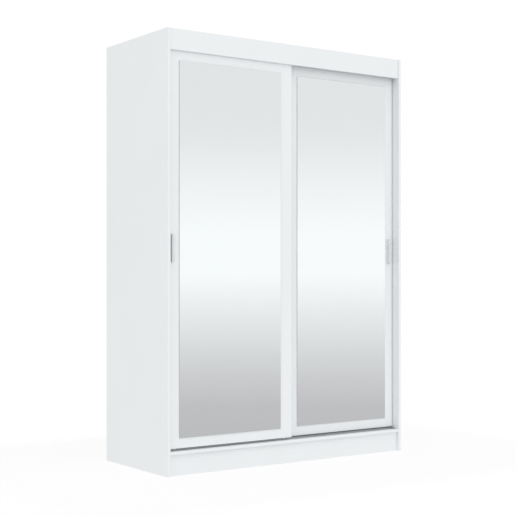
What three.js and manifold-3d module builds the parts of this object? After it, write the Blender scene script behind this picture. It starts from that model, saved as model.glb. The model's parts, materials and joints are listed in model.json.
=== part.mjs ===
// Sliding wardrobe built from 15 mm boards. Its two doors run on a double track, and each is a
// white board with a mirror taped to its face, which leaves a white border all round.
//
// Frame: millimetres, +Z up, +X to the right, +Y to the rear. The origin is on the floor, under
// the middle of the carcass. The doors face -Y. The left door runs in the outer lane, and the
// right door runs in the inner lane behind it. Both doors are shut.

import * as THREE from 'three';
import { RoundedBoxGeometry } from 'three/addons/geometries/RoundedBoxGeometry.js';
import { mergeVertices } from 'three/addons/utils/BufferGeometryUtils.js';
import Module from 'manifold-3d';

const wasm = await Module();
wasm.setup();

// ---------------------------------------------------------------- driving dimensions

// Whole wardrobe. GAP is the joint line left between two pieces that touch.
const WIDTH = 1500;
const DEPTH = 630;
const HEIGHT = 2170;
const BOARD = 15;
const GAP = 0.3;

// Front of the carcass, with setbacks measured from the side panels' front edges
const FASCIA_HEIGHT = 103;
const FASCIA_SETBACK = 6;
const BASE_TOP = 120;
const PLINTH_SETBACK = 18;
const PLINTH_REAR_INSET = 40;

// Back of the carcass: two thin panels in grooves, joined by a strip
const BACK_THICK = 3;
const BACK_INSET = 12;
const GROOVE_DEPTH = 8;
const STRIP_WIDTH = 44;
const STRIP_THICK = 2;
const STRIP_WEB = 1.2;

// Interior
const INTERIOR_SETBACK = 84;
const SHELF_SETBACK = 12;
const HAT_SHELF_Z = 1795;
const SHELF_HEIGHTS = [455, 790, 1125, 1460];

// Hanging rail: a tube held in a cup at each end
const RAIL_RADIUS = 12.5;
const RAIL_WALL = 1.5;
const RAIL_Y = 35;
const RAIL_Z = 1725;
const SOCKET_FLANGE_RADIUS = 24;
const SOCKET_FLANGE = 3;
const SOCKET_CUP_RADIUS = 17;
const SOCKET_CUP = 12;

// Doors. A lane is the setback of a door's face from the side panels' front edges. The clears are
// what is left between a side panel and the edge of a door that stands beside it.
const DOOR_THICK = 12;
const DOOR_BOTTOM = 131.5;
const DOOR_TOP = 2118;
const LEFT_CLEAR = 7;
const RIGHT_CLEAR = 4;
const OUTER_LANE = 22;
const INNER_LANE = 52;

// Mirrors, and the white border that each leaves on its door
const MIRROR_WIDTH = 609;
const MIRROR_THICK = 3;
const OUTER_BORDER = 55;
const MEETING_BORDER = 74;
const BOTTOM_BORDER = 50;
const TOP_BORDER = 98.5;
const TAPE_COUNT = 4;
const TAPE_WIDTH = 25;
const TAPE_THICK = 0.8;
const TAPE_INSET = 30;

// Pulls: slim upright bars. Their centres are given from the wardrobe's left face.
const PULL_LENGTH = 136;
const PULL_WIDTH = 13;
const PULL_PROJECTION = 16.5;
const PULL_ROUND = 1.2;
const PULL_ROUND_STEPS = 2;
const PULL_Z = 1106;
const PULL_CENTRES = [34, 1449];

// Rolling gear on the back of each door
const GEAR_PLANE = 18.5;
const GEAR_INSET = 40;
const WHEEL_RADIUS = 11;
const WHEEL_TREAD_RADIUS = 8;
const WHEEL_WIDTH = 6;
const WHEEL_TREAD_WIDTH = 3.4;
const AXLE_RADIUS = 2.5;
const AXLE_HEAD_RADIUS = 4.5;
const AXLE_HEAD = 1;
const HOUSING_WIDTH = 56;
const HOUSING_HEIGHT = 44;
const HOUSING_DEPTH = 12.2;
const HOUSING_WALL = 2;
const HOUSING_ROUND = 8;
const HOUSING_DROP = 1.5;
const WHEEL_CLEAR = 1.5;
const OVERCUT = 1;
const GUIDE_WIDTH = 44;
const GUIDE_PLATE = 3;
const GUIDE_BELOW = 38;
const GUIDE_ABOVE = 24;
const TONGUE_THICK = 8;

// Tracks. The bottom plate reaches past the two wheel planes by its front and rear edges.
const TRACK_PLATE = 2;
const TRACK_FRONT_EDGE = 14;
const TRACK_REAR_EDGE = 7;
const RIB_HEIGHT = 5;
const RIB_WIDTH = 2.4;
const CHANNEL_HEIGHT = 27;
const CHANNEL_WIDTH = 10;
const CHANNEL_WALL = 1.5;

// Bumpers on the side panels, where a door's edge lands
const BUMPER_RADIUS = 5;
const BUMPER_Z = 2095;

const ROUND_SEGMENTS = 24;
const ARC_SEGMENTS = 4;

// ---------------------------------------------------------------- derived places

const LEFT = -WIDTH / 2;
const FRONT = -DEPTH / 2;
const INNER_LEFT = LEFT + BOARD;
const TOP_UNDERSIDE = HEIGHT - BOARD;
const BACK_FRONT = DEPTH / 2 - BACK_INSET - BACK_THICK;
const BOARD_REAR = BACK_FRONT - GAP;
const INTERIOR_FRONT = FRONT + INTERIOR_SETBACK;
const DIVIDER_SIDE = BOARD / 2;
const DOOR_WIDTH = OUTER_BORDER + MIRROR_WIDTH + MEETING_BORDER;
const DOOR_HEIGHT = DOOR_TOP - DOOR_BOTTOM;
const TRACK_BASE = BASE_TOP + GAP;
const RIB_TOP = TRACK_BASE + TRACK_PLATE + RIB_HEIGHT;
const WHEEL_Z = RIB_TOP + GAP + WHEEL_TREAD_RADIUS;
const LANES = [OUTER_LANE, INNER_LANE];

// ---------------------------------------------------------------- materials

function finish(color, roughness, metalness) {
  return new THREE.MeshStandardMaterial({ color, roughness, metalness });
}

const whiteBoard = finish(0xeaeeef, 0.45, 0);
const doorBoard = finish(0xe9edee, 0.4, 0);
const hardboard = finish(0xa98d6a, 0.8, 0);
const mirrorGlass = finish(0xf4f8f8, 0.02, 1);
const silverPull = finish(0xc9cbcc, 0.35, 0.9);
const aluminium = finish(0x8f9294, 0.4, 1);
const greyPlastic = finish(0x9a9da0, 0.55, 0);
const nylon = finish(0xe8e6df, 0.4, 0);
const steel = finish(0xa4a6a8, 0.3, 1);
const chrome = finish(0xd8dadc, 0.08, 1);
const clearRubber = finish(0xd9dcdc, 0.6, 0);
const foamTape = finish(0x8d9093, 0.9, 0);

// ---------------------------------------------------------------- shape helpers

// A box between two x, two y and two z values
function block([x0, x1], [y0, y1], [z0, z1]) {
  const geometry = new THREE.BoxGeometry(x1 - x0, y1 - y0, z1 - z0);
  return geometry.translate((x0 + x1) / 2, (y0 + y1) / 2, (z0 + z1) / 2);
}

function outline(points) {
  return new THREE.Shape(points.map(([u, v]) => new THREE.Vector2(u, v)));
}

function extrude(shape, depth) {
  return new THREE.ExtrudeGeometry(shape, { depth, bevelEnabled: false, curveSegments: ARC_SEGMENTS });
}

// A section drawn in x and y, run up +Z from z0 to z1
function runUp(points, [z0, z1]) {
  return extrude(outline(points), z1 - z0).translate(0, 0, z0);
}

// A section drawn in y and z, run along +X from x0 to x1
function runAcross(points, [x0, x1]) {
  const geometry = extrude(outline(points), x1 - x0);
  const basis = new THREE.Matrix4().makeBasis(
    new THREE.Vector3(0, 1, 0),
    new THREE.Vector3(0, 0, 1),
    new THREE.Vector3(1, 0, 0),
  );
  return geometry.applyMatrix4(basis).translate(x0, 0, 0);
}

// A profile of [radius, y] points turned about the Y axis
function turned(points) {
  const profile = points.map(([radius, y]) => new THREE.Vector2(radius, y));
  return new THREE.LatheGeometry(profile, ROUND_SEGMENTS);
}

function toSolid(geometry) {
  const bare = geometry.clone();
  bare.deleteAttribute('normal');
  bare.deleteAttribute('uv');
  const merged = mergeVertices(bare);
  return new wasm.Manifold(new wasm.Mesh({
    numProp: 3,
    vertProperties: new Float32Array(merged.attributes.position.array),
    triVerts: new Uint32Array(merged.index.array),
  }));
}

// The first shape with all the others taken out of it
function cut(body, ...tools) {
  const solid = tools.reduce((left, tool) => left.subtract(toSolid(tool)), toSolid(body));
  const result = solid.getMesh();
  const geometry = new THREE.BufferGeometry();
  geometry.setAttribute('position', new THREE.BufferAttribute(result.vertProperties, 3));
  geometry.setIndex(new THREE.BufferAttribute(result.triVerts, 1));
  geometry.computeVertexNormals();
  return geometry;
}

function addPart(group, name, geometry, material) {
  const mesh = new THREE.Mesh(geometry, material);
  mesh.name = name;
  group.add(mesh);
  return mesh;
}

// ---------------------------------------------------------------- carcass

const wardrobe = new THREE.Group();
const carcass = new THREE.Group();
wardrobe.add(carcass);

const betweenSides = [INNER_LEFT + GAP, -INNER_LEFT - GAP];

// A side panel: a full board with one groove down its inner face for the back panel.
// side is -1 for the left panel and 1 for the right one.
function sidePanel(side) {
  const outer = side * WIDTH / 2;
  const inner = outer - side * BOARD;
  const floor = inner + side * GROOVE_DEPTH;
  const grooveFront = BACK_FRONT - GAP;
  const grooveRear = BACK_FRONT + BACK_THICK + GAP;
  const section = [
    [outer, FRONT],
    [inner, FRONT],
    [inner, grooveFront],
    [floor, grooveFront],
    [floor, grooveRear],
    [inner, grooveRear],
    [inner, -FRONT],
    [outer, -FRONT],
  ];
  return runUp(section, [0, HEIGHT]);
}

function addCarcassBoards() {
  addPart(carcass, 'side_panel_left', sidePanel(-1), whiteBoard);
  addPart(carcass, 'side_panel_right', sidePanel(1), whiteBoard);
  const fasciaFront = FRONT + FASCIA_SETBACK;
  const fasciaRear = fasciaFront + BOARD;
  const fascia = block(betweenSides, [fasciaFront, fasciaRear], [HEIGHT - FASCIA_HEIGHT, HEIGHT]);
  addPart(carcass, 'fascia', fascia, whiteBoard);
  const topPanel = block(betweenSides, [fasciaRear + GAP, BOARD_REAR], [TOP_UNDERSIDE, HEIGHT]);
  addPart(carcass, 'top_panel', topPanel, whiteBoard);
  const basePanel = block(betweenSides, [FRONT, BOARD_REAR], [BASE_TOP - BOARD, BASE_TOP]);
  addPart(carcass, 'base_panel', basePanel, whiteBoard);
}

function addPlinth() {
  const height = [0, BASE_TOP - BOARD - GAP];
  const frontRear = FRONT + PLINTH_SETBACK + BOARD;
  const rearFront = BOARD_REAR - PLINTH_REAR_INSET - BOARD;
  const front = block(betweenSides, [frontRear - BOARD, frontRear], height);
  const rear = block(betweenSides, [rearFront, rearFront + BOARD], height);
  const brace = block([-DIVIDER_SIDE, DIVIDER_SIDE], [frontRear + GAP, rearFront - GAP], height);
  addPart(carcass, 'plinth_front', front, whiteBoard);
  addPart(carcass, 'plinth_rear', rear, whiteBoard);
  addPart(carcass, 'plinth_brace', brace, whiteBoard);
}

// The strip is a T: its web stands between the two back panels, its flange covers their edges.
function addBack() {
  const height = [BASE_TOP - BOARD, HEIGHT - GAP];
  const rear = BACK_FRONT + BACK_THICK;
  const webHalf = STRIP_WEB / 2;
  const outerEdge = INNER_LEFT - GROOVE_DEPTH + GAP;
  const innerEdge = -webHalf - GAP;
  const left = block([outerEdge, innerEdge], [BACK_FRONT, rear], height);
  const right = block([-innerEdge, -outerEdge], [BACK_FRONT, rear], height);
  const flangeHalf = STRIP_WIDTH / 2;
  const flangeFront = rear + GAP;
  const flangeRear = flangeFront + STRIP_THICK;
  const section = [
    [-flangeHalf, flangeRear],
    [-flangeHalf, flangeFront],
    [-webHalf, flangeFront],
    [-webHalf, BACK_FRONT],
    [webHalf, BACK_FRONT],
    [webHalf, flangeFront],
    [flangeHalf, flangeFront],
    [flangeHalf, flangeRear],
  ];
  addPart(carcass, 'back_panel_left', left, hardboard);
  addPart(carcass, 'back_panel_right', right, hardboard);
  addPart(carcass, 'back_joint_strip', runUp(section, height), nylon);
}

function addInterior() {
  const leftBay = [INNER_LEFT + GAP, -DIVIDER_SIDE - GAP];
  const rightBay = [DIVIDER_SIDE + GAP, -INNER_LEFT - GAP];
  const shelfDepth = [INTERIOR_FRONT + SHELF_SETBACK, BOARD_REAR];
  const dividerWidth = [-DIVIDER_SIDE, DIVIDER_SIDE];
  const dividerHeight = [BASE_TOP + GAP, TOP_UNDERSIDE - GAP];
  const divider = block(dividerWidth, [INTERIOR_FRONT, BOARD_REAR], dividerHeight);
  addPart(carcass, 'centre_divider', divider, whiteBoard);
  const shelf = (bay, z) => block(bay, shelfDepth, [z, z + BOARD]);
  addPart(carcass, 'hat_shelf_left', shelf(leftBay, HAT_SHELF_Z), whiteBoard);
  addPart(carcass, 'hat_shelf_right', shelf(rightBay, HAT_SHELF_Z), whiteBoard);
  SHELF_HEIGHTS.forEach((z, index) => {
    addPart(carcass, `shelf_${index + 1}`, shelf(rightBay, z), whiteBoard);
  });
}

// The rail hangs in the left bay. Each socket is a cup on a flange, and takes one end of the tube.
function addHangingRail() {
  const cupBore = RAIL_RADIUS + GAP;
  const cupEnd = SOCKET_FLANGE + SOCKET_CUP;
  const socket = turned([
    [0, 0],
    [SOCKET_FLANGE_RADIUS, 0],
    [SOCKET_FLANGE_RADIUS, SOCKET_FLANGE],
    [SOCKET_CUP_RADIUS, SOCKET_FLANGE],
    [SOCKET_CUP_RADIUS, cupEnd],
    [cupBore, cupEnd],
    [cupBore, SOCKET_FLANGE],
    [0, SOCKET_FLANGE],
  ]);
  const leftWall = INNER_LEFT + GAP;
  const rightWall = -DIVIDER_SIDE - GAP;
  const railInset = SOCKET_FLANGE + GAP;
  const railLength = rightWall - leftWall - 2 * railInset;
  const bore = RAIL_RADIUS - RAIL_WALL;
  const tube = turned([
    [bore, 0],
    [RAIL_RADIUS, 0],
    [RAIL_RADIUS, railLength],
    [bore, railLength],
    [bore, 0],
  ]);
  const left = addPart(carcass, 'rail_socket_left', socket, greyPlastic);
  left.position.set(leftWall, RAIL_Y, RAIL_Z);
  left.rotation.z = -Math.PI / 2;
  const right = addPart(carcass, 'rail_socket_right', socket, greyPlastic);
  right.position.set(rightWall, RAIL_Y, RAIL_Z);
  right.rotation.z = Math.PI / 2;
  const rail = addPart(carcass, 'hanging_rail', tube, chrome);
  rail.position.set(leftWall + railInset, RAIL_Y, RAIL_Z);
  rail.rotation.z = -Math.PI / 2;
}

// ---------------------------------------------------------------- tracks

// The bottom track is a plate with one rib under each door's wheels.
function bottomTrack() {
  const [outerPlane, innerPlane] = LANES.map((lane) => FRONT + lane + GEAR_PLANE);
  const plateTop = TRACK_BASE + TRACK_PLATE;
  const ribHalf = RIB_WIDTH / 2;
  const section = [
    [outerPlane - TRACK_FRONT_EDGE, TRACK_BASE],
    [innerPlane + TRACK_REAR_EDGE, TRACK_BASE],
    [innerPlane + TRACK_REAR_EDGE, plateTop],
  ];
  for (const plane of [innerPlane, outerPlane]) {
    section.push([plane + ribHalf, plateTop]);
    section.push([plane + ribHalf, RIB_TOP]);
    section.push([plane - ribHalf, RIB_TOP]);
    section.push([plane - ribHalf, plateTop]);
  }
  section.push([outerPlane - TRACK_FRONT_EDGE, plateTop]);
  return runAcross(section, betweenSides);
}

// The top track hangs under the top panel, with one downward channel for each door's tongues.
function topTrack() {
  const roof = TOP_UNDERSIDE - GAP;
  const ceiling = roof - CHANNEL_WALL;
  const mouth = roof - CHANNEL_HEIGHT;
  const inside = CHANNEL_WIDTH / 2;
  const outside = inside + CHANNEL_WALL;
  const [outerPlane, innerPlane] = LANES.map((lane) => FRONT + lane + GEAR_PLANE);
  const section = [[outerPlane - outside, roof]];
  for (const plane of [outerPlane, innerPlane]) {
    if (plane === innerPlane) {
      section.push([plane - outside, ceiling]);
    }
    section.push([plane - outside, mouth]);
    section.push([plane - inside, mouth]);
    section.push([plane - inside, ceiling]);
    section.push([plane + inside, ceiling]);
    section.push([plane + inside, mouth]);
    section.push([plane + outside, mouth]);
    if (plane === outerPlane) {
      section.push([plane + outside, ceiling]);
    }
  }
  section.push([innerPlane + outside, roof]);
  return runAcross(section, betweenSides);
}

// Each lane has a bumper at both ends, between the side panel and the edge of an open or shut door.
function addBumper(lane, laneName, side) {
  const clear = side < 0 ? LEFT_CLEAR : RIGHT_CLEAR;
  const bumperLength = clear - 2 * GAP;
  const shape = turned([
    [0, 0],
    [BUMPER_RADIUS, 0],
    [BUMPER_RADIUS, bumperLength],
    [0, bumperLength],
  ]);
  const sideName = side < 0 ? 'left' : 'right';
  const bumper = addPart(carcass, `bumper_${laneName}_${sideName}`, shape, clearRubber);
  bumper.position.set(-side * (INNER_LEFT + GAP), FRONT + lane + DOOR_THICK / 2, BUMPER_Z);
  bumper.rotation.z = side * Math.PI / 2;
}

// ---------------------------------------------------------------- doors

// Everything on a door is placed from the left bottom corner of its front face.

// The mirror is held off the board by upright strips of foam tape, spread evenly behind it.
function addDoorPanel(door, name, leftBorder) {
  const board = block([0, DOOR_WIDTH], [0, DOOR_THICK], [0, DOOR_HEIGHT]);
  addPart(door, `${name}_board`, board, doorBoard);
  const tapeRear = -GAP;
  const tapeFront = tapeRear - TAPE_THICK;
  const mirrorRear = tapeFront - GAP;
  const mirrorRight = leftBorder + MIRROR_WIDTH;
  const mirrorTop = DOOR_HEIGHT - TOP_BORDER;
  const mirror = block(
    [leftBorder, mirrorRight],
    [mirrorRear - MIRROR_THICK, mirrorRear],
    [BOTTOM_BORDER, mirrorTop],
  );
  addPart(door, `${name}_mirror`, mirror, mirrorGlass);
  const tapeHeight = [BOTTOM_BORDER + TAPE_INSET, mirrorTop - TAPE_INSET];
  const firstTape = leftBorder + TAPE_INSET;
  const pitch = (MIRROR_WIDTH - 2 * TAPE_INSET - TAPE_WIDTH) / (TAPE_COUNT - 1);
  for (let index = 0; index < TAPE_COUNT; index += 1) {
    const left = firstTape + index * pitch;
    const tape = block([left, left + TAPE_WIDTH], [tapeFront, tapeRear], tapeHeight);
    addPart(door, `${name}_tape_${index + 1}`, tape, foamTape);
  }
}

function addPull(door, name, x) {
  const bar = new RoundedBoxGeometry(
    PULL_WIDTH,
    PULL_PROJECTION,
    PULL_LENGTH,
    PULL_ROUND_STEPS,
    PULL_ROUND,
  );
  const pull = addPart(door, `${name}_pull`, bar, silverPull);
  pull.position.set(x, -GAP - PULL_PROJECTION / 2, PULL_Z - DOOR_BOTTOM);
}

// A housing is a shallow box with round top corners, open below where its wheel reaches out.
function housingShape(bottom) {
  const half = HOUSING_WIDTH / 2;
  const top = bottom + HOUSING_HEIGHT;
  const shape = new THREE.Shape();
  shape.moveTo(-half, bottom);
  shape.lineTo(half, bottom);
  shape.lineTo(half, top - HOUSING_ROUND);
  shape.absarc(half - HOUSING_ROUND, top - HOUSING_ROUND, HOUSING_ROUND, 0, Math.PI / 2);
  shape.absarc(HOUSING_ROUND - half, top - HOUSING_ROUND, HOUSING_ROUND, Math.PI / 2, Math.PI);
  shape.closePath();
  const rear = DOOR_THICK + GAP + HOUSING_DEPTH;
  return extrude(shape, HOUSING_DEPTH).rotateX(Math.PI / 2).translate(0, rear, 0);
}

function housing() {
  const front = DOOR_THICK + GAP;
  const rear = front + HOUSING_DEPTH;
  const wheelZ = WHEEL_Z - DOOR_BOTTOM;
  const bottom = -HOUSING_DROP;
  const reach = WHEEL_RADIUS + WHEEL_CLEAR;
  const cavity = block(
    [-reach, reach],
    [front + HOUSING_WALL, rear - HOUSING_WALL],
    [bottom - OVERCUT, wheelZ + reach],
  );
  const axleBore = new THREE.CylinderGeometry(
    AXLE_RADIUS + GAP,
    AXLE_RADIUS + GAP,
    2 * HOUSING_DEPTH,
    ROUND_SEGMENTS,
  );
  axleBore.translate(0, (front + rear) / 2, wheelZ);
  return cut(housingShape(bottom), cavity, axleBore);
}

// The wheel's tread is a groove that rides the rib, with a flange at each side.
function wheelShape() {
  const half = WHEEL_WIDTH / 2;
  const treadHalf = WHEEL_TREAD_WIDTH / 2;
  const bore = AXLE_RADIUS + GAP;
  return turned([
    [bore, -half],
    [WHEEL_RADIUS, -half],
    [WHEEL_RADIUS, -treadHalf],
    [WHEEL_TREAD_RADIUS, -treadHalf],
    [WHEEL_TREAD_RADIUS, treadHalf],
    [WHEEL_RADIUS, treadHalf],
    [WHEEL_RADIUS, half],
    [bore, half],
    [bore, -half],
  ]);
}

function axleShape() {
  const front = DOOR_THICK + GAP;
  const neck = front + HOUSING_DEPTH + GAP;
  return turned([
    [0, front],
    [AXLE_RADIUS, front],
    [AXLE_RADIUS, neck],
    [AXLE_HEAD_RADIUS, neck],
    [AXLE_HEAD_RADIUS, neck + AXLE_HEAD],
    [0, neck + AXLE_HEAD],
  ]);
}

// A guide is a plate on the door's back that steps rearward into a tongue above the door.
function guideShape() {
  const half = TONGUE_THICK / 2;
  const plateFront = DOOR_THICK + GAP;
  const plateRear = plateFront + GUIDE_PLATE;
  const tongueFront = GEAR_PLANE - half;
  const tongueRear = GEAR_PLANE + half;
  const section = [
    [plateFront, DOOR_HEIGHT - GUIDE_BELOW],
    [plateRear, DOOR_HEIGHT - GUIDE_BELOW],
    [plateRear, DOOR_HEIGHT - TONGUE_THICK],
    [tongueRear, DOOR_HEIGHT],
    [tongueRear, DOOR_HEIGHT + GUIDE_ABOVE],
    [tongueFront, DOOR_HEIGHT + GUIDE_ABOVE],
    [tongueFront, DOOR_HEIGHT],
    [plateFront, DOOR_HEIGHT],
  ];
  return runAcross(section, [-GUIDE_WIDTH / 2, GUIDE_WIDTH / 2]);
}

function addRunningGear(door, name) {
  const places = { left: GEAR_INSET, right: DOOR_WIDTH - GEAR_INSET };
  for (const [end, x] of Object.entries(places)) {
    const corner = new THREE.Group();
    corner.position.x = x;
    door.add(corner);
    addPart(corner, `${name}_roller_housing_${end}`, housing(), greyPlastic);
    const wheel = addPart(corner, `${name}_wheel_${end}`, wheelShape(), nylon);
    wheel.position.set(0, GEAR_PLANE, WHEEL_Z - DOOR_BOTTOM);
    const axle = addPart(corner, `${name}_axle_${end}`, axleShape(), steel);
    axle.position.z = WHEEL_Z - DOOR_BOTTOM;
    addPart(corner, `${name}_top_guide_${end}`, guideShape(), greyPlastic);
  }
}

function addDoor(name, left, lane, leftBorder, pullCentre) {
  const door = new THREE.Group();
  door.position.set(left, FRONT + lane, DOOR_BOTTOM);
  wardrobe.add(door);
  addDoorPanel(door, name, leftBorder);
  addPull(door, name, LEFT + pullCentre - left);
  addRunningGear(door, name);
}

// ---------------------------------------------------------------- assembly

addCarcassBoards();
addPlinth();
addBack();
addInterior();
addHangingRail();
addPart(carcass, 'bottom_track', bottomTrack(), aluminium);
addPart(carcass, 'top_track', topTrack(), aluminium);
for (const side of [-1, 1]) {
  addBumper(OUTER_LANE, 'outer', side);
  addBumper(INNER_LANE, 'inner', side);
}

const leftDoorX = INNER_LEFT + LEFT_CLEAR;
const rightDoorX = -INNER_LEFT - RIGHT_CLEAR - DOOR_WIDTH;
addDoor('left_door', leftDoorX, OUTER_LANE, OUTER_BORDER, PULL_CENTRES[0]);
addDoor('right_door', rightDoorX, INNER_LANE, MEETING_BORDER, PULL_CENTRES[1]);

export default wardrobe;
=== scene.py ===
import json
import math

import bmesh
import bpy
from mathutils import Matrix, Vector


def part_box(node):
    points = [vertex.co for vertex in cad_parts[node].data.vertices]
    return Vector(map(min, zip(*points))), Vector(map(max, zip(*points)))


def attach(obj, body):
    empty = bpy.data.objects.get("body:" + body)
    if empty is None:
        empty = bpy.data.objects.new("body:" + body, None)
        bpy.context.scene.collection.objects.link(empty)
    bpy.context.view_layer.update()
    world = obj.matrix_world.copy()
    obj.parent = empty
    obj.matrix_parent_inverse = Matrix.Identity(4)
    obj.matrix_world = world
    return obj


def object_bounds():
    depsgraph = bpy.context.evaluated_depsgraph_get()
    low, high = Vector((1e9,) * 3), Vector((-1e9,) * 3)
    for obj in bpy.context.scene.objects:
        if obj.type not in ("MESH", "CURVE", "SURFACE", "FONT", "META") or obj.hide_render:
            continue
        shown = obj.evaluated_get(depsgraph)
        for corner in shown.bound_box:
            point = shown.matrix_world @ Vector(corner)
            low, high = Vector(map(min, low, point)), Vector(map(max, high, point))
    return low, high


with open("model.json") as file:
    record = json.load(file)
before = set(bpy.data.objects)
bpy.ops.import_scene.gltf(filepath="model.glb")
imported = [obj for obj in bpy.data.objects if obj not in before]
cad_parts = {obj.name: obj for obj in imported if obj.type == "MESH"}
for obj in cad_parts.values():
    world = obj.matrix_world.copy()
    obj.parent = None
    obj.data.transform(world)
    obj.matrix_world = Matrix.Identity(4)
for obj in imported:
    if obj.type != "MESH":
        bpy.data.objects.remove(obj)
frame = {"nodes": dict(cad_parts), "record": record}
CAD_LOW, CAD_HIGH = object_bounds()
NODES = frame["nodes"]

# ---------------------------------------------------------------- names and sizes, in metres

MM = 0.001
DOORS = ("left_door", "right_door")
ENDS = ("left", "right")
UP = Vector((0, 0, 1))
DOWN = Vector((0, 0, -1))
LEFTWARD = Vector((-1, 0, 0))
RIGHTWARD = Vector((1, 0, 0))
REARWARD = Vector((0, 1, 0))

# The camera stands to the front left, a little below half height, and looks level to the right.
CAMERA_PLACE = (-3.6086, -5.1345, 0.9764)
CAMERA_TURN = math.radians(-35.09)
CAMERA_LENS = 81.13
CAMERA_SENSOR = 36.0
CAMERA_RISE = 0.0336

# How far the CAD pieces' edges are rounded
EDGE_ROUND = {
    "board": 0.5 * MM,
    "glass": 0.25 * MM,
    "metal": 0.2 * MM,
    "plastic": 0.4 * MM,
}


# ---------------------------------------------------------------- camera, floor and light

def add_camera():
    """A level camera. Its vertical shift keeps upright edges upright."""
    data = bpy.data.cameras.new("camera")
    data.lens = CAMERA_LENS
    data.sensor_width = CAMERA_SENSOR
    data.shift_y = CAMERA_RISE
    camera = bpy.data.objects.new("camera", data)
    camera.location = CAMERA_PLACE
    camera.rotation_euler = (math.radians(90), 0, CAMERA_TURN)
    bpy.context.scene.collection.objects.link(camera)
    bpy.context.scene.camera = camera


def grey_to_linear(value):
    """The linear light of an sRGB grey from 0 to 255."""
    share = value / 255
    return share / 12.92 if share <= 0.04045 else ((share + 0.055) / 1.055) ** 2.4


# What the mirrors see of the studio: elevation in degrees, and its grey from 0 to 255
STUDIO_GREYS = [
    (-30, 186), (-8, 189), (-6.5, 192), (-5, 205), (-4, 214), (-3, 224), (-2, 233), (-1, 242),
    (0, 250), (2, 250), (3, 247), (4, 243), (5, 239), (6, 234), (7, 230), (8, 228), (14, 228),
    (30, 240),
]
# The tints of its light part and its dark part, and the elevation where they meet
STUDIO_TINT = (0.975, 1.003, 1.012)
STUDIO_LOW_TINT = (0.985, 0.987, 1.012)
LOW_TINT_TOP = -4
RAMP_REACH = 30
MIRROR_RETURN = 0.965

# Behind the wardrobe that wall fades into an even grey, between these depths of a direction
REAR_WALL_LIGHT = 0.50
REAR_WALL_FADE = (-0.15, 0.45)

# The dome's light below and above, and the heights of a direction between which it changes
LOW_LIGHT = 0.75
HIGH_LIGHT = 0.66
DOME_FADE = (-0.35, 0.35)

# Two softboxes: where each one is, the cosines where its edge and its full light are, its light
SOFTBOXES = [
    (Vector((-0.25, -0.80, 0.50)), (0.25, 0.95), 1.33),
    (Vector((-0.90, 0.38, 0.20)), (0.20, 0.95), 1.02),
]


class World:
    """The world's node tree, with short ways to add nodes to it."""

    def __init__(self):
        self.world = bpy.data.worlds.new("studio")
        bpy.context.scene.world = self.world
        self.world.use_nodes = True
        self.tree = self.world.node_tree
        self.background = self.tree.nodes["Background"]

    def node(self, kind, **settings):
        made = self.tree.nodes.new(kind)
        for name, value in settings.items():
            setattr(made, name, value)
        return made

    def link(self, source, target):
        self.tree.links.new(source, target)

    def mix(self, factor, first, second):
        made = self.node("ShaderNodeMix", data_type="RGBA")
        self.link(factor, made.inputs[0])
        for socket, value in ((made.inputs[6], first), (made.inputs[7], second)):
            if isinstance(value, bpy.types.NodeSocket):
                self.link(value, socket)
            else:
                socket.default_value = (*value, 1)
        return made.outputs[2]

    def ramp(self, factor, stops):
        made = self.node("ShaderNodeValToRGB")
        self.link(factor, made.inputs[0])
        elements = made.color_ramp.elements
        elements[0].position, elements[0].color = stops[0][0], (*stops[0][1], 1)
        elements[1].position, elements[1].color = stops[-1][0], (*stops[-1][1], 1)
        for position, color in stops[1:-1]:
            elements.new(position).color = (*color, 1)
        return made.outputs[0]

    def scaled(self, value, low, high):
        made = self.node("ShaderNodeMapRange", clamp=True)
        self.link(value, made.inputs[0])
        made.inputs[1].default_value = low
        made.inputs[2].default_value = high
        return made.outputs[0]


def add_studio_light():
    """A white studio. The boards are lit by a dome with two softboxes, the mirrors reflect a
    graded wall, and the camera sees plain white behind the wardrobe."""
    world = World()
    place = world.node("ShaderNodeTexCoord")
    axes = world.node("ShaderNodeSeparateXYZ")
    world.link(place.outputs["Generated"], axes.inputs[0])
    reach = math.sin(math.radians(RAMP_REACH))
    height = world.scaled(axes.outputs[2], -reach, reach)
    stops = []
    for degrees, grey in STUDIO_GREYS:
        position = (math.sin(math.radians(degrees)) + reach) / (2 * reach)
        light = grey_to_linear(grey) / MIRROR_RETURN
        tint = STUDIO_LOW_TINT if degrees < LOW_TINT_TOP else STUDIO_TINT
        stops.append((position, tuple(light * share for share in tint)))
    wall = world.ramp(height, stops)
    rear_share = world.scaled(axes.outputs[1], *REAR_WALL_FADE)
    room = world.mix(rear_share, wall, (REAR_WALL_LIGHT,) * 3)
    dome_share = world.scaled(axes.outputs[2], *DOME_FADE)
    dome = world.mix(dome_share, (LOW_LIGHT,) * 3, (HIGH_LIGHT,) * 3)
    for direction, (edge, middle), light in SOFTBOXES:
        towards = world.node("ShaderNodeVectorMath", operation="DOT_PRODUCT")
        world.link(place.outputs["Generated"], towards.inputs[0])
        towards.inputs[1].default_value = direction.normalized()
        share = world.scaled(towards.outputs["Value"], edge, middle)
        dome = world.mix(share, dome, (light,) * 3)
    rays = world.node("ShaderNodeLightPath")
    for_gloss = world.mix(rays.outputs["Is Glossy Ray"], dome, room)
    everything = world.mix(rays.outputs["Is Camera Ray"], for_gloss, (1.0, 1.0, 1.0))
    world.link(everything, world.background.inputs["Color"])


FLOOR_MARGIN = 0.95
FLOOR_FADE = 0.30
FLOOR_STRENGTH = 0.12
FLOOR_WHITE = (0.95, 0.95, 0.95)


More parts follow.
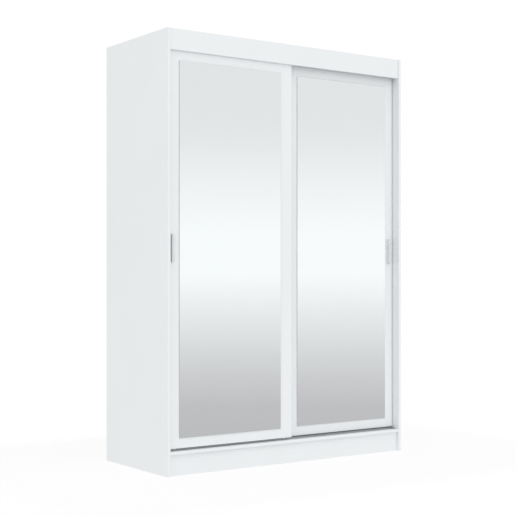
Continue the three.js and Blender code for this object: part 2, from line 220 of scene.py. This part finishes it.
def add_floor():
    """A pale floor under and round the wardrobe. It fades out into the white studio."""
    low = CAD_LOW - Vector((FLOOR_MARGIN,) * 3)
    high = CAD_HIGH + Vector((FLOOR_MARGIN,) * 3)
    corners = [(low.x, low.y, 0), (high.x, low.y, 0), (high.x, high.y, 0), (low.x, high.y, 0)]
    mesh = bpy.data.meshes.new("floor")
    mesh.from_pydata(corners, [], [(0, 1, 2, 3)])
    floor = bpy.data.objects.new("floor", mesh)
    bpy.context.scene.collection.objects.link(floor)
    finish = Finish("pale_floor", FLOOR_WHITE, roughness=0.9)
    finish.shader.inputs["Specular IOR Level"].default_value = 0.0
    edge = finish.math("MINIMUM", finish.wall_distance(0, low.x, high.x),
                       finish.wall_distance(1, low.y, high.y))
    strength = finish.remap(edge, 0.0, FLOOR_FADE, 0.0, FLOOR_STRENGTH)
    finish.link(strength, finish.shader.inputs["Alpha"])
    mesh.materials.append(finish.material)


# ---------------------------------------------------------------- materials

# The part of a noise's values that is spread over the full change it makes
NOISE_RANGE = (0.3, 0.7)


class Finish:
    """A Principled material, with short ways to add procedural detail in metres."""

    def __init__(self, name, color, roughness, metallic=0.0):
        self.material = bpy.data.materials.new(name)
        self.material.use_nodes = True
        self.tree = self.material.node_tree
        self.shader = self.tree.nodes["Principled BSDF"]
        self.shader.inputs["Base Color"].default_value = (*color, 1)
        self.shader.inputs["Roughness"].default_value = roughness
        self.shader.inputs["Metallic"].default_value = metallic
        self.color = color
        self.place = self.tree.nodes.new("ShaderNodeTexCoord").outputs["Object"]

    def link(self, source, target):
        self.tree.links.new(source, target)

    def feed(self, value, socket):
        if isinstance(value, bpy.types.NodeSocket):
            self.link(value, socket)
        else:
            socket.default_value = value

    def math(self, operation, first, second=0.0):
        """Arithmetic on sockets or plain numbers."""
        made = self.tree.nodes.new("ShaderNodeMath")
        made.operation = operation
        self.feed(first, made.inputs[0])
        self.feed(second, made.inputs[1])
        return made.outputs[0]

    def remap(self, value, low, high, new_low, new_high):
        """A smooth step from new_low to new_high as value goes from low to high."""
        made = self.tree.nodes.new("ShaderNodeMapRange")
        made.interpolation_type = "SMOOTHSTEP"
        self.link(value, made.inputs[0])
        for index, number in enumerate((low, high, new_low, new_high)):
            made.inputs[index + 1].default_value = number
        return made.outputs[0]

    def axis(self, index):
        """A point's place along one axis of its object."""
        made = self.tree.nodes.new("ShaderNodeSeparateXYZ")
        self.link(self.place, made.inputs[0])
        return made.outputs[index]

    def facing(self, index):
        """How much of the surface's direction points along one axis."""
        made = self.tree.nodes.new("ShaderNodeSeparateXYZ")
        self.link(self.tree.nodes.new("ShaderNodeNewGeometry").outputs["Normal"], made.inputs[0])
        return made.outputs[index]

    def wall_distance(self, index, low, high):
        """How far a point is inside the two planes across one axis."""
        value = self.axis(index)
        return self.math("MINIMUM", self.math("SUBTRACT", value, low),
                         self.math("SUBTRACT", high, value))

    def noise(self, size, detail, stretch=(1, 1, 1)):
        """Smooth noise with features of about size metres, drawn out by stretch."""
        mapping = self.tree.nodes.new("ShaderNodeMapping")
        self.link(self.place, mapping.inputs[0])
        mapping.inputs["Scale"].default_value = tuple(1 / (size * s) for s in stretch)
        made = self.tree.nodes.new("ShaderNodeTexNoise")
        made.inputs["Scale"].default_value = 1.0
        made.inputs["Detail"].default_value = detail
        self.link(mapping.outputs[0], made.inputs["Vector"])
        return made.outputs[0]

    def mix(self, factor, first, second):
        made = self.tree.nodes.new("ShaderNodeMix")
        made.data_type = "RGBA"
        self.link(factor, made.inputs[0])
        for socket, value in ((made.inputs[6], first), (made.inputs[7], second)):
            self.feed(value if isinstance(value, bpy.types.NodeSocket) else (*value, 1), socket)
        return made.outputs[2]

    def tint(self, color):
        self.link(color, self.shader.inputs["Base Color"])

    def vary(self, noise, low, high):
        """A value between low and high that follows a noise."""
        return self.remap(noise, *NOISE_RANGE, low, high)

    def vary_color(self, noise, spread):
        """Makes the color darker and lighter by a share of itself."""
        darker = tuple(c * (1 - spread) for c in self.color)
        lighter = tuple(min(1.0, c * (1 + spread)) for c in self.color)
        self.tint(self.mix(self.vary(noise, 0.0, 1.0), darker, lighter))

    def vary_roughness(self, noise, low, high):
        self.link(self.vary(noise, low, high), self.shader.inputs["Roughness"])

    def bump(self, height, depth):
        """Adds a relief of the given depth in metres, on top of any relief so far."""
        made = self.tree.nodes.new("ShaderNodeBump")
        made.inputs["Strength"].default_value = 1.0
        made.inputs["Distance"].default_value = depth
        previous = self.shader.inputs["Normal"].links
        self.link(height, made.inputs["Height"])
        if previous:
            self.link(previous[0].from_socket, made.inputs["Normal"])
        self.link(made.outputs[0], self.shader.inputs["Normal"])


def melamine(name, color):
    """White melamine board: a fine pearl texture, with slight shifts of gloss over the sheet."""
    finish = Finish(name, color, roughness=0.42)
    finish.shader.inputs["Specular IOR Level"].default_value = 0.45
    finish.vary_color(finish.noise(size=0.35, detail=3.0), spread=0.006)
    finish.vary_roughness(finish.noise(size=0.08, detail=3.0), low=0.38, high=0.46)
    finish.bump(finish.noise(size=1.4 * MM, detail=1.0), depth=0.022 * MM)
    finish.bump(finish.noise(size=9 * MM, detail=1.0), depth=0.05 * MM)
    return finish.material


# The mirror's silver where it has been wiped and where it is clear, and its cut edge. A surface
# that faces the front or rear by less than the first share is edge, by more than the second mirror.
WIPED_SILVER = (0.957, 0.965, 0.965)
CLEAR_SILVER = (0.968, 0.970, 0.970)
CUT_GLASS = (0.66, 0.72, 0.71)
MIRROR_FACE = (0.80, 0.97)


def mirror_glass():
    """Silvered glass, with a trace of haze where it has been wiped and a green-grey cut edge."""
    finish = Finish("mirror_glass", (MIRROR_RETURN,) * 3, roughness=0.0, metallic=1.0)
    smears = finish.noise(size=0.22, detail=4.0, stretch=(1, 1, 0.5))
    finish.vary_roughness(smears, low=0.004, high=0.018)
    is_face = finish.remap(finish.math("ABSOLUTE", finish.facing(1)), *MIRROR_FACE, 0.0, 1.0)
    silver = finish.mix(finish.vary(smears, 0.0, 1.0), WIPED_SILVER, CLEAR_SILVER)
    finish.tint(finish.mix(is_face, CUT_GLASS, silver))
    return finish.material


# Raw hardboard, its fibres and the cloudy patches on it, and the lacquer on its front face
HARDBOARD_BROWN = (0.42, 0.29, 0.17)
DARK_FIBRE = (0.36, 0.24, 0.14)
PALE_FIBRE = (0.47, 0.33, 0.20)
BROWN_CLOUD = (0.40, 0.29, 0.18)
CLOUD_RANGE = (0.35, 0.65)
CLOUD_STRENGTH = 0.25
LACQUER = (0.80, 0.81, 0.81)
LACQUER_FACING = (-0.9, -0.5)


def hardboard():
    """Thin hardboard: raw brown fibre behind, white lacquer on the face inside."""
    finish = Finish("hardboard", HARDBOARD_BROWN, roughness=0.75)
    fibres = finish.noise(size=2.5 * MM, detail=4.0, stretch=(1.6, 1, 1))
    clouds = finish.noise(size=0.12, detail=3.0)
    brown = finish.mix(finish.vary(fibres, 0.0, 1.0), DARK_FIBRE, PALE_FIBRE)
    cloud_share = finish.remap(clouds, *CLOUD_RANGE, 0.0, CLOUD_STRENGTH)
    brown = finish.mix(cloud_share, brown, BROWN_CLOUD)
    is_front = finish.remap(finish.facing(1), *LACQUER_FACING, 1.0, 0.0)
    finish.tint(finish.mix(is_front, brown, LACQUER))
    finish.vary_roughness(fibres, low=0.62, high=0.82)
    finish.bump(fibres, depth=0.06 * MM)
    return finish.material


BRUSH_STRETCH = 60


def brushed(name, color, low, high, along):
    """Brushed metal, its fine lines running along one axis, its roughness from low to high."""
    finish = Finish(name, color, roughness=(low + high) / 2, metallic=1.0)
    stretch = tuple(BRUSH_STRETCH if axis == along else 1 for axis in "xyz")
    lines = finish.noise(size=0.35 * MM, detail=2.0, stretch=stretch)
    finish.vary_color(lines, spread=0.05)
    finish.vary_roughness(lines, low, high)
    finish.bump(lines, depth=0.012 * MM)
    return finish.material


GLOSS_DRIFT = 0.06


def moulded(name, color, roughness):
    """Moulded plastic with a fine spark-eroded texture."""
    finish = Finish(name, color, roughness)
    finish.vary_color(finish.noise(size=0.02, detail=3.0), spread=0.03)
    finish.vary_roughness(finish.noise(size=4 * MM, detail=2.0), low=roughness - GLOSS_DRIFT,
                          high=roughness + GLOSS_DRIFT)
    finish.bump(finish.noise(size=0.5 * MM, detail=1.0), depth=0.02 * MM)
    return finish.material


def chipboard_in_painted_hole_shade():
    """The inside of a hole drilled in chipboard: coarse brown chips, their colour darkened by
    painted shade for the hole's depth.
    """
    # Dark brown: the chipboard's colour with the hole's shade painted in, since the disc has no
    # depth.
    finish = Finish("chipboard_in_painted_hole_shade", (0.10, 0.07, 0.045), roughness=0.9)
    chips = finish.noise(size=0.7 * MM, detail=2.0)
    finish.vary_color(chips, spread=0.35)
    finish.bump(chips, depth=0.1 * MM)
    return finish.material


def foam():
    """Closed-cell foam tape."""
    finish = Finish("foam_tape", (0.30, 0.31, 0.32), roughness=0.9)
    cells = finish.noise(size=0.6 * MM, detail=2.0)
    finish.vary_color(cells, spread=0.15)
    finish.bump(cells, depth=0.08 * MM)
    return finish.material


def plated(name, color, low, high):
    """Bright plating, with faint drifts of gloss, its roughness from low to high."""
    finish = Finish(name, color, roughness=(low + high) / 2, metallic=1.0)
    drifts = finish.noise(size=6 * MM, detail=3.0)
    finish.vary_color(drifts, spread=0.02)
    finish.vary_roughness(drifts, low, high)
    return finish.material


BOARD_WHITE = (0.830, 0.852, 0.864)

# The material of each slot in the record
MATERIALS = {
    "white_board": melamine("white_melamine", BOARD_WHITE),
    "door_board": melamine("door_melamine", BOARD_WHITE),
    "hardboard": hardboard(),
    "mirror": mirror_glass(),
    "pull": brushed("satin_silver", (0.90, 0.905, 0.91), 0.34, 0.46, "z"),
    "track": brushed("anodised_aluminium", (0.47, 0.48, 0.49), 0.32, 0.44, "x"),
    "grey_plastic": moulded("grey_moulding", (0.36, 0.37, 0.38), 0.52),
    "nylon": moulded("natural_nylon", (0.78, 0.77, 0.71), 0.38),
    "steel": plated("zinc_steel", (0.62, 0.63, 0.64), 0.22, 0.34),
    "chrome": plated("chrome", (0.80, 0.81, 0.82), 0.05, 0.10),
    "bumper": moulded("soft_bumper", (0.66, 0.67, 0.67), 0.65),
    "foam_tape": foam(),
}

# The kind of edge of each slot. Hardboard and foam tape keep their sharp edges.
ROUND_OF_SLOT = {
    "white_board": "board", "door_board": "board", "mirror": "glass", "pull": "metal",
    "track": "metal", "steel": "metal", "chrome": "metal", "grey_plastic": "plastic",
    "nylon": "plastic", "bumper": "plastic",
}

WELD_REACH = 0.01 * MM
ROUND_SEGMENTS = 2
ROUND_ANGLE = math.radians(40)


def dress_cad_nodes():
    """Gives each CAD node its material, and rounds its edges with modifiers."""
    for row in frame["record"]["subparts"]:
        node = NODES[row["node"]]
        slot = row["material_slot"]
        node.data.materials.clear()
        node.data.materials.append(MATERIALS[slot])
        if slot not in ROUND_OF_SLOT:
            continue
        weld = node.modifiers.new("weld", "WELD")
        weld.merge_threshold = WELD_REACH
        rounding = node.modifiers.new("rounding", "BEVEL")
        rounding.width = EDGE_ROUND[ROUND_OF_SLOT[slot]]
        rounding.segments = ROUND_SEGMENTS
        rounding.limit_method = "ANGLE"
        rounding.angle_limit = ROUND_ANGLE
        rounding.harden_normals = True


# ---------------------------------------------------------------- shapes for the detail pieces

SCREW_SIDES = 12
CAP_SIDES = 24
SHARP_ANGLE = math.radians(35)

# How far each shape in a set is turned on from the one before
SCREW_TURN = math.radians(40)

# Outlines from the surface up, each as a share of the radius and a share of the rise
SCREW_HEAD = [(1.0, 0.0), (1.0, 0.35), (0.88, 0.80), (0.66, 1.0)]
CAP_HEAD = [(1.0, 0.0), (1.0, 0.5), (0.93, 1.0), (0.34, 1.0), (0.24, 0.7)]
HOLE_DISC = [(1.0, 0.0), (1.0, 1.0), (0.9, 1.0), (0.8, 0.2)]

# The cross recess: its reach and half width as shares of the radius, and a share of the rise
SCREW_RECESS = [(0.52, 0.13, 1.0), (0.42, 0.10, 0.3)]

# The pin's end: a share of the radius, and how many radii it is short of the tip
PIN_TIP = [(1.0, 0.4), (0.85, 0.12), (0.5, 0.0)]

HOLE_RIM = 0.1 * MM


def ring(radius, sides):
    """A round outline. With 12 sides its corners line up with those of a cross."""
    step = 2 * math.pi / sides
    return [(radius * math.cos((i - 0.5) * step), radius * math.sin((i - 0.5) * step))
            for i in range(sides)]


def cross(reach, half_width):
    """The outline of a cross recess, counter-clockwise in 12 corners."""
    arm = [(reach, -half_width), (reach, half_width), (half_width, half_width)]
    corners = []
    for quarter in range(4):
        turn = Matrix.Rotation(quarter * math.pi / 2, 2)
        corners += [tuple(turn @ Vector(corner)) for corner in arm]
    return corners


def turned(profile, radius, rise, sides):
    """The round outlines, with their heights, of a profile given in shares."""
    return [(ring(share * radius, sides), height * rise) for share, height in profile]


def spread(low, high, count):
    """Evenly spaced values from low to high."""
    return [low + (high - low) * index / (count - 1) for index in range(count)]


class Piece:
    """One object that holds a set of like small shapes and rides on one body."""

    def __init__(self, name, body, slot, material=None):
        self.name = name
        self.body = body
        self.slot = slot
        self.material = material or MATERIALS[slot]
        self.shapes = bmesh.new()
        self.count = 0

    def stack(self, place, direction, outlines):
        """A closed shape through flat outlines of (corners, height), standing on a surface."""
        stand = direction.to_track_quat("Z", "Y").to_matrix().to_4x4()
        turn = Matrix.Rotation(self.count * SCREW_TURN, 4, "Z")
        matrix = Matrix.Translation(place) @ stand @ turn
        self.count += 1
        rows = [[self.shapes.verts.new(matrix @ Vector((*corner, height))) for corner in corners]
                for corners, height in outlines]
        for lower, upper in zip(rows, rows[1:]):
            for index in range(len(lower)):
                after = (index + 1) % len(lower)
                self.shapes.faces.new((lower[index], lower[after], upper[after], upper[index]))
        self.shapes.faces.new(rows[0][::-1])
        self.shapes.faces.new(rows[-1])

    def screw(self, place, direction, radius, rise):
        """A rounded screw head with a cross recess."""
        recess = [(cross(reach * radius, half_width * radius), height * rise)
                  for reach, half_width, height in SCREW_RECESS]
        self.stack(place, direction, turned(SCREW_HEAD, radius, rise, SCREW_SIDES) + recess)

    def cap(self, place, direction, radius, rise):
        """A push-in cap with a soft edge and a shallow dimple."""
        self.stack(place, direction, turned(CAP_HEAD, radius, rise, CAP_SIDES))

    def pin(self, place, direction, radius, length):
        """A round pin with a domed end."""
        tip = [(ring(share * radius, CAP_SIDES), length - short * radius)
               for share, short in PIN_TIP]
        self.stack(place, direction, [(ring(radius, CAP_SIDES), 0)] + tip)

    def hole(self, place, direction, radius):
        """A drilled hole, drawn as a dark disc with a hair-thin raised rim; the dark is painted
        shade in place of the hole's depth.
        """
        self.stack(place, direction, turned(HOLE_DISC, radius, HOLE_RIM, CAP_SIDES))

    def finish(self):
        """Makes the object, smooth but for its sharp edges, and puts it on its body."""
        for face in self.shapes.faces:
            face.smooth = True
        for edge in self.shapes.edges:
            edge.smooth = edge.calc_face_angle(0) < SHARP_ANGLE
        mesh = bpy.data.meshes.new(self.name)
        self.shapes.to_mesh(mesh)
        self.shapes.free()
        mesh.materials.append(self.material)
        made = bpy.data.objects.new(self.name, mesh)
        bpy.context.scene.collection.objects.link(made)
        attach(made, self.body)


# ---------------------------------------------------------------- door hardware

SCREW_RADIUS = 3.4 * MM
SCREW_RISE = 1.1 * MM
SUNK_RADIUS = 3.6 * MM
SUNK_RISE = 0.35 * MM
PULL_SCREW_INSET = 20 * MM
HOUSING_SCREW_SIDE = 7.5 * MM
HOUSING_SCREW_TOP = 14 * MM
HOUSING_SCREW_BOTTOM = 9 * MM
ADJUSTER_RADIUS = 4.2 * MM
ADJUSTER_TOP = 12 * MM
GUIDE_PLATE_REAR = 3.3 * MM
GUIDE_SCREW_SIDE = 9 * MM
GUIDE_SCREW_UP = 14 * MM


def add_pull_screws(door):
    """The pull's two screws come through the board, with their heads sunk in its back."""
    low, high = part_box(f"{door}_pull")
    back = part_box(f"{door}_board")[1].y
    screws = Piece(f"{door}_pull_screws", door, "steel")
    for z in (low.z + PULL_SCREW_INSET, high.z - PULL_SCREW_INSET):
        screws.screw(((low.x + high.x) / 2, back, z), REARWARD, SUNK_RADIUS, SUNK_RISE)
    screws.finish()


def add_gear_screws(door):
    """Screws that hold the roller housings and the top guides, and the two height adjusters."""
    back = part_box(f"{door}_board")[1].y
    screws = Piece(f"{door}_gear_screws", door, "steel")
    adjusters = Piece(f"{door}_height_adjusters", door, "steel")
    for end in ENDS:
        low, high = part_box(f"{door}_roller_housing_{end}")
        for x in (low.x + HOUSING_SCREW_SIDE, high.x - HOUSING_SCREW_SIDE):
            for z in (low.z + HOUSING_SCREW_BOTTOM, high.z - HOUSING_SCREW_TOP):
                screws.screw((x, high.y, z), REARWARD, SCREW_RADIUS, SCREW_RISE)
        adjuster_place = ((low.x + high.x) / 2, high.y, high.z - ADJUSTER_TOP)
        adjusters.screw(adjuster_place, REARWARD, ADJUSTER_RADIUS, SCREW_RISE)
        low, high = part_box(f"{door}_top_guide_{end}")
        for x in (low.x + GUIDE_SCREW_SIDE, high.x - GUIDE_SCREW_SIDE):
            plate = (x, back + GUIDE_PLATE_REAR, low.z + GUIDE_SCREW_UP)
            screws.screw(plate, REARWARD, SCREW_RADIUS, SCREW_RISE)
    screws.finish()
    adjusters.finish()


# ---------------------------------------------------------------- carcass hardware

TRACK_SCREWS = 7
TRACK_SCREW_INSET = 60 * MM
TRACK_PLATE = 2 * MM
CHANNEL_WALL = 1.5 * MM
SOCKET_FLANGE = 3 * MM
SOCKET_SCREWS = 3
SOCKET_SCREW_CIRCLE = 20.5 * MM
SOCKET_SCREW_RADIUS = 2.3 * MM
SOCKET_SCREW_RISE = 0.8 * MM
CAM_RADIUS = 7.5 * MM
CAM_RISE = 0.8 * MM
CAM_SIDE = 34 * MM
CAM_DEPTH = 90 * MM
PIN_RADIUS = 2.5 * MM
PIN_LENGTH = 8 * MM
PIN_INSET = 50 * MM
PIN_REST = 0.1 * MM
HOLE_PITCH = 32 * MM
HOLE_STEPS = (-2, -1, 1, 2)
HOLE_RADIUS = 2.5 * MM
NAIL_RADIUS = 2.6 * MM
NAIL_RISE = 0.5 * MM
NAIL_SIDE = 28 * MM
NAILS_IN_ROW = 7
STRIP_NAILS = 9
STRIP_NAIL_INSET = 60 * MM
SHELVES = ("shelf_1", "shelf_2", "shelf_3", "shelf_4")


def add_track_screws():
    """A row of screws down the middle of each track, between its two lanes."""
    wheels = [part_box(f"{door}_wheel_left") for door in DOORS]
    middle = sum(low.y + high.y for low, high in wheels) / (2 * len(wheels))
    screws = Piece("track_screws", "carcass", "steel")
    low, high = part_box("bottom_track")
    places = spread(low.x + TRACK_SCREW_INSET, high.x - TRACK_SCREW_INSET, TRACK_SCREWS)
    for x in places:
        screws.screw((x, middle, low.z + TRACK_PLATE), UP, SCREW_RADIUS, SCREW_RISE)
    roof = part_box("top_track")[1].z - CHANNEL_WALL
    for x in places:
        screws.screw((x, middle, roof), DOWN, SCREW_RADIUS, SCREW_RISE)
    screws.finish()


def add_socket_screws():
    """Three small screws through the flange of each rail socket."""
    screws = Piece("rail_socket_screws", "carcass", "steel")
    for end, direction in (("left", RIGHTWARD), ("right", LEFTWARD)):
        low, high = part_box(f"rail_socket_{end}")
        wall = low.x if end == "left" else high.x
        centre = (low + high) / 2
        for index in range(SOCKET_SCREWS):
            angle = math.pi / 2 + index * 2 * math.pi / SOCKET_SCREWS
            place = (wall + direction.x * SOCKET_FLANGE,
                     centre.y + SOCKET_SCREW_CIRCLE * math.cos(angle),
                     centre.z + SOCKET_SCREW_CIRCLE * math.sin(angle))
            screws.screw(place, direction, SOCKET_SCREW_RADIUS, SOCKET_SCREW_RISE)
    screws.finish()


def add_cam_caps():
    """Caps over the cam fittings, under each board that is fixed at its ends."""
    caps = Piece("cam_caps", "carcass", "nylon")
    for board in ("top_panel", "base_panel", "hat_shelf_left", "hat_shelf_right"):
        low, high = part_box(board)
        for x in (low.x + CAM_SIDE, high.x - CAM_SIDE):
            for y in (low.y + CAM_DEPTH, high.y - CAM_DEPTH):
                caps.cap((x, y, low.z), DOWN, CAM_RADIUS, CAM_RISE)
    caps.finish()


def add_shelf_supports():
    """Four pins under each loose shelf, and the spare holes above and below each pin, drawn as
    discs of painted shade.
    """
    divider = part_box("centre_divider")[1].x
    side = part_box("side_panel_right")[0].x
    pins = Piece("shelf_pins", "carcass", "steel")
    # The spare holes are flat dark discs: painted shade standing in for real drilled holes.
    holes = Piece("painted_shade_shelf_pin_holes", "carcass", "hardboard", chipboard_in_painted_hole_shade())
    for shelf in SHELVES:
        low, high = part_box(shelf)
        z = low.z - PIN_REST - PIN_RADIUS
        for x, direction in ((divider, RIGHTWARD), (side, LEFTWARD)):
            for y in (low.y + PIN_INSET, high.y - PIN_INSET):
                pins.pin((x, y, z), direction, PIN_RADIUS, PIN_LENGTH)
                for step in HOLE_STEPS:
                    holes.hole((x, y, z + step * HOLE_PITCH), direction, HOLE_RADIUS)
    pins.finish()
    holes.finish()


def add_back_nails():
    """Nails through the back panels into the fixed boards, and down the joint strip."""
    nails = Piece("back_nails", "carcass", "steel")
    boards = [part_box(name) for name in ("base_panel", "hat_shelf_left", "top_panel")]
    for panel in ("back_panel_left", "back_panel_right"):
        low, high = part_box(panel)
        for board_low, board_high in boards:
            z = (board_low.z + board_high.z) / 2
            for x in spread(low.x + NAIL_SIDE, high.x - NAIL_SIDE, NAILS_IN_ROW):
                nails.cap((x, high.y, z), REARWARD, NAIL_RADIUS, NAIL_RISE)
    low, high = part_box("back_joint_strip")
    for z in spread(low.z + STRIP_NAIL_INSET, high.z - STRIP_NAIL_INSET, STRIP_NAILS):
        nails.cap(((low.x + high.x) / 2, high.y, z), REARWARD, NAIL_RADIUS, NAIL_RISE)
    nails.finish()


# ---------------------------------------------------------------- assembly

bpy.context.scene.view_settings.view_transform = "Standard"
dress_cad_nodes()
for door_name in DOORS:
    add_pull_screws(door_name)
    add_gear_screws(door_name)
add_track_screws()
add_socket_screws()
add_cam_caps()
add_shelf_supports()
add_back_nails()
add_camera()
add_studio_light()
add_floor()
